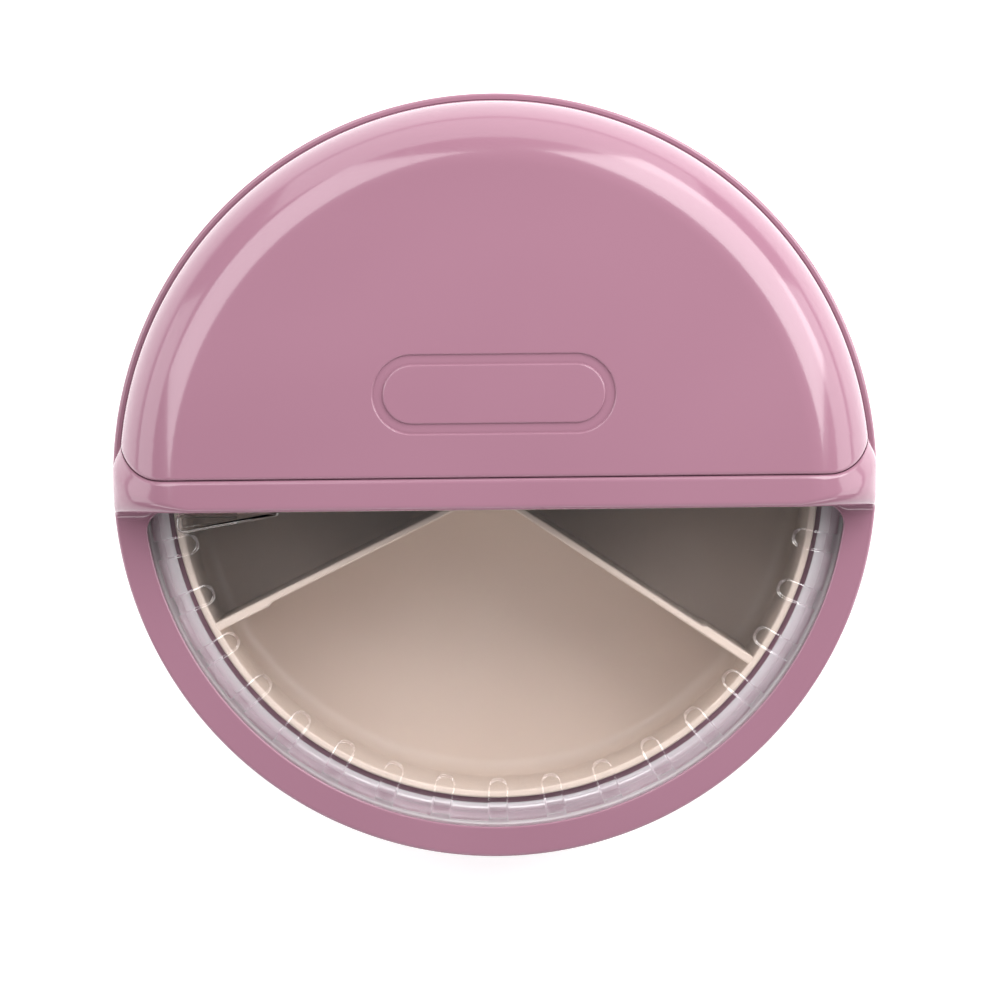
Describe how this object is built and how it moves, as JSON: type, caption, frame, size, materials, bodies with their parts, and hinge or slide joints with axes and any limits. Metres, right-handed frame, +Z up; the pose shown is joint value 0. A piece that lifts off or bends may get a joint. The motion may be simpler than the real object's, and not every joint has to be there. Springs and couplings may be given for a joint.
{
  "type": "rotating snack container",
  "caption": "Round lidded snack container: divided tray in a base, domed half cover with a window, and a clear lid with a thumb tab that turns to open.",
  "frame": {"origin": "middle of the underside, on the surface that the container stands on", "axes": "+Z up, +Y towards the dome, -Y towards the window, +X to the right when the window faces the user"},
  "size_m": [0.165, 0.165, 0.06],
  "materials": {
    "pink_plastic": "moulded satin gloss, dusty pink",
    "cream_plastic": "moulded, warm cream",
    "clear_plastic": "clear moulded plastic",
    "white_plastic": "natural white bearing plastic",
    "silicone": "soft moulded silicone, dusty pink",
    "steel": "stainless fasteners",
    "spring_steel": "stainless strip"
  },
  "bodies": {
    "base": {"base_shell": "pink_plastic", "base_rim": "pink_plastic", "foot_ring": "silicone", "tray": "cream_plastic", "divider_hub": "cream_plastic", "divider_rear": "cream_plastic", "divider_left": "cream_plastic", "divider_right": "cream_plastic"},
    "turn_ring": {"turn_ring": "white_plastic"},
    "cover": {"cover_frame": "pink_plastic", "dome_cap": "pink_plastic", "dome_screws": "steel", "click_spring": "spring_steel", "click_screw": "steel"},
    "lid": {"clear_lid": "clear_plastic", "pivot_screw": "steel", "pivot_washer": "steel"}
  },
  "joints": [
    {"name": "cover_lift", "type": "slide", "parent": "base", "child": "turn_ring", "axis": [0, 0, 1], "range_m": [0, 0.06]},
    {"name": "cover_turn", "type": "hinge", "parent": "turn_ring", "child": "cover", "pos_m": [0, 0, 0.03], "axis": [0, 0, 1], "continuous": true},
    {"name": "lid_turn", "type": "hinge", "parent": "cover", "child": "lid", "pos_m": [0, 0, 0.0415], "axis": [0, 0, 1], "range_deg": [0, 161]}
  ]
}
